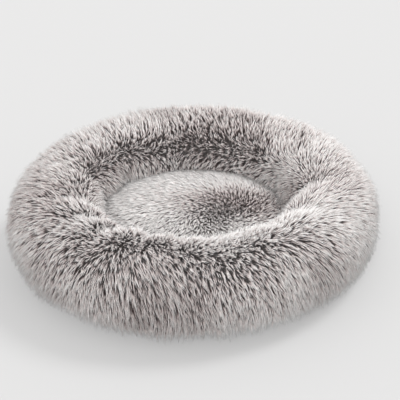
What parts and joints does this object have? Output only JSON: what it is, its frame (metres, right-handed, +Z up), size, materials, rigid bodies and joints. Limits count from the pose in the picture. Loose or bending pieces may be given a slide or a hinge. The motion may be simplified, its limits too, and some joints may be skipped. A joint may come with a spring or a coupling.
{
  "type": "pet cushion bed",
  "caption": "Round pet bed: a fat long-pile fur bolster ring sewn round a domed fur cushion, with a zipped cloth base border and grip dots.",
  "frame": {"origin": "on the floor under the middle of the bed, at the bottom of the middle grip dot", "axes": "+Z up, -Y the front, +Y the back where the zip is, +X to the right seen from the front"},
  "size_m": [0.586, 0.586, 0.1435],
  "materials": {
    "fur_bolster": "long frosted pile, brown-grey roots and pale silver tips",
    "fur_cushion": "long frosted pile, brushed in a loose swirl",
    "lining_cloth": "matt non-woven",
    "fibre_fill": "loose polyester fibre",
    "base_cloth": "matt plain weave",
    "binding_tape": "matt woven tape",
    "zip_tape": "herringbone tape",
    "zip_teeth": "moulded, satin",
    "zip_metal": "satin lacquer",
    "label_satin": "satin ribbon, blank"
  },
  "bodies": {
    "bed": {"bolster_cover_panel_1": "fur_bolster", "bolster_cover_panel_2": "fur_bolster", "bolster_cover_panel_3": "fur_bolster", "bolster_cover_panel_4": "fur_bolster", "cushion_cover": "fur_cushion", "bolster_liner_top": "lining_cloth", "bolster_liner_base": "lining_cloth", "cushion_liner_top": "lining_cloth", "cushion_liner_base": "lining_cloth", "divider_band": "lining_cloth", "bolster_filling": "fibre_fill", "cushion_filling": "fibre_fill", "base_panel": "base_cloth", "base_border": "base_cloth", "inner_seam_binding": "binding_tape", "outer_seam_binding": "binding_tape", "zip_tape_upper": "zip_tape", "zip_tape_lower": "zip_tape", "zip_teeth_upper": "zip_teeth", "zip_teeth_lower": "zip_teeth", "zip_start_stop": "zip_teeth", "zip_end_stop": "zip_teeth", "care_label": "label_satin"},
    "zip_slider": {"zip_slider": "zip_metal"},
    "zip_pull": {"zip_pull_tab": "zip_metal"}
  },
  "joints": [
    {"name": "slider_travel", "type": "hinge", "parent": "bed", "child": "zip_slider", "pos_m": [0, 0, 0.0145], "axis": [0, 0, 1], "range_deg": [0, 145.6]},
    {"name": "pull_swing", "type": "hinge", "parent": "zip_slider", "child": "zip_pull", "pos_m": [0.22592, 0.06993, 0.0145], "axis": [0, 0, -1], "range_deg": [0, 175]}
  ]
}
